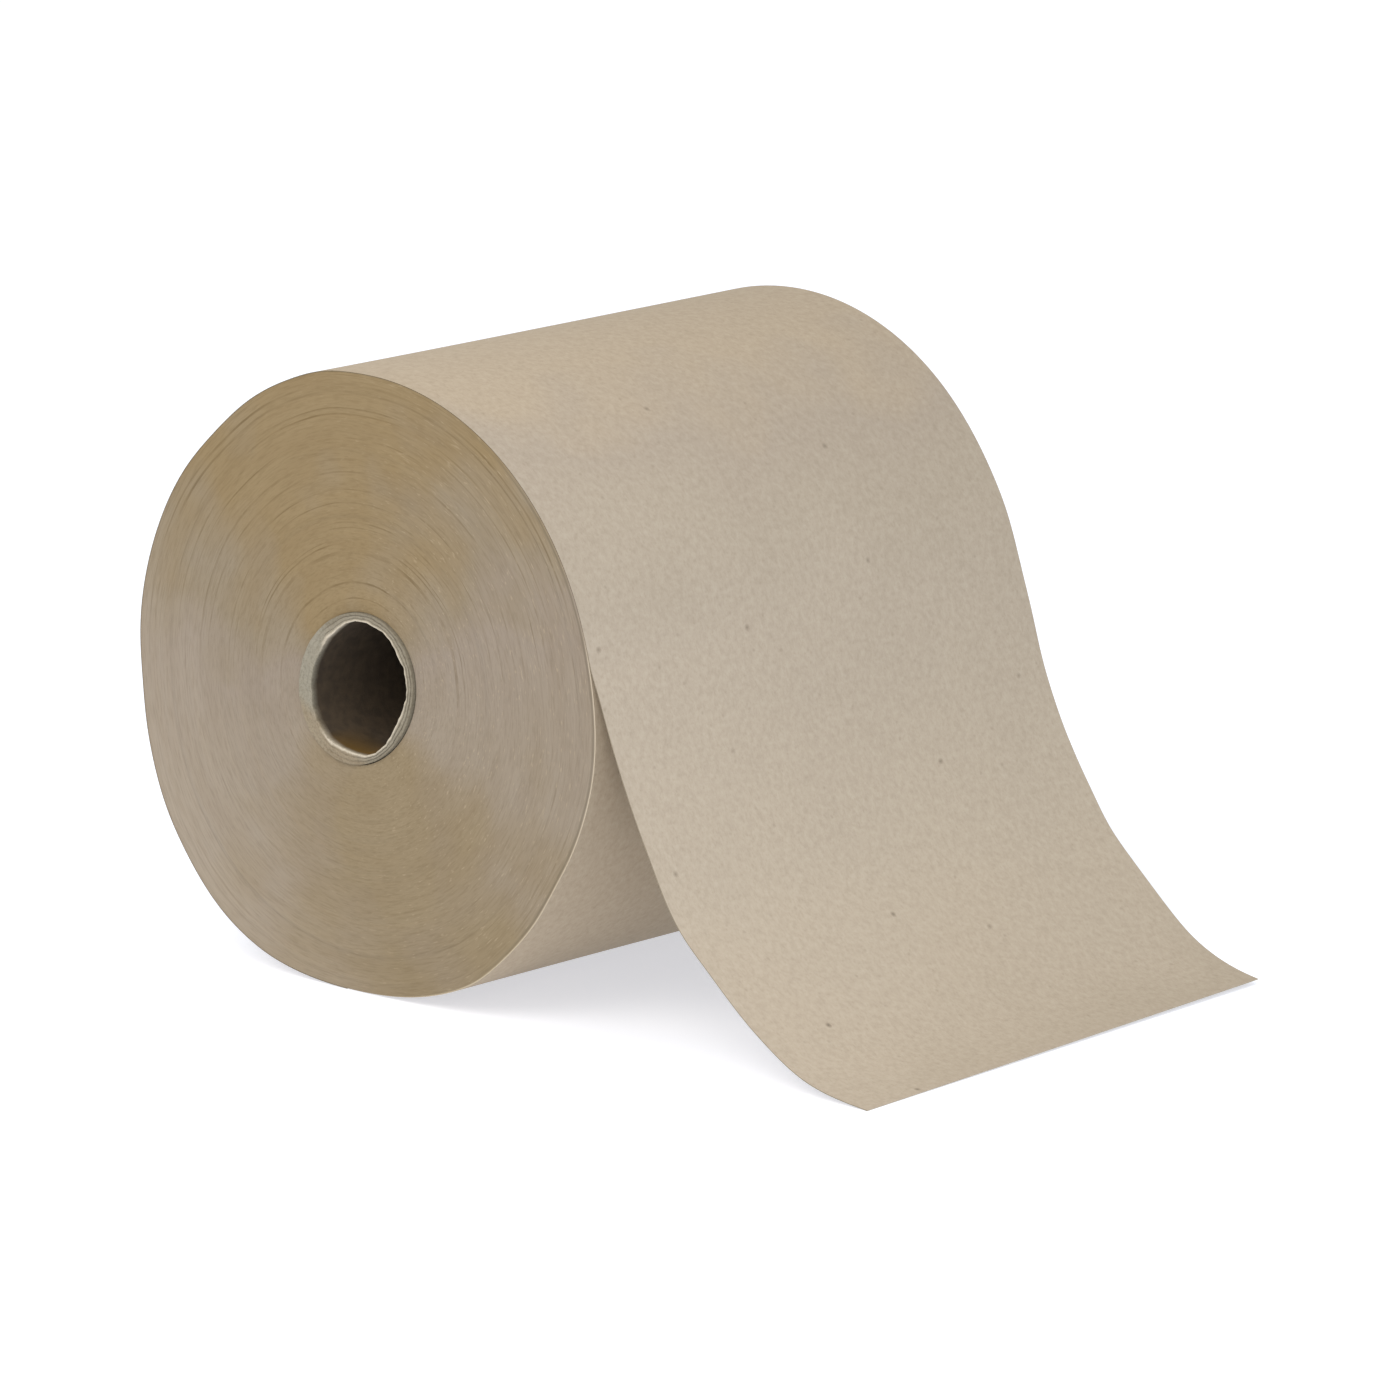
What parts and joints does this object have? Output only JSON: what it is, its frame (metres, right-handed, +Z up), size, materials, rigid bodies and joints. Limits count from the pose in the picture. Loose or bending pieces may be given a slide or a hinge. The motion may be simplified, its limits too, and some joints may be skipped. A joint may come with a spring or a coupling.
{
  "type": "paper towel roll",
  "caption": "Brown recycled paper towel hardwound on a cardboard core, lying on its side with the loose end of the sheet hanging clear and flaring out to the floor.",
  "frame": {"origin": "centre of the core's bore, half way along the roll", "axes": "+Y along the core's bore; +Z up as the roll lies on its side; +X towards the loose end of the sheet"},
  "size_m": [0.3083, 0.202, 0.1977],
  "materials": {
    "towel_paper": "matte, unbleached recycled fibre",
    "core_board": "matte, spiral-wound grey board"
  },
  "bodies": {
    "root": {"wound_paper": "towel_paper", "core_tube": "core_board"}
  },
  "joints": []
}
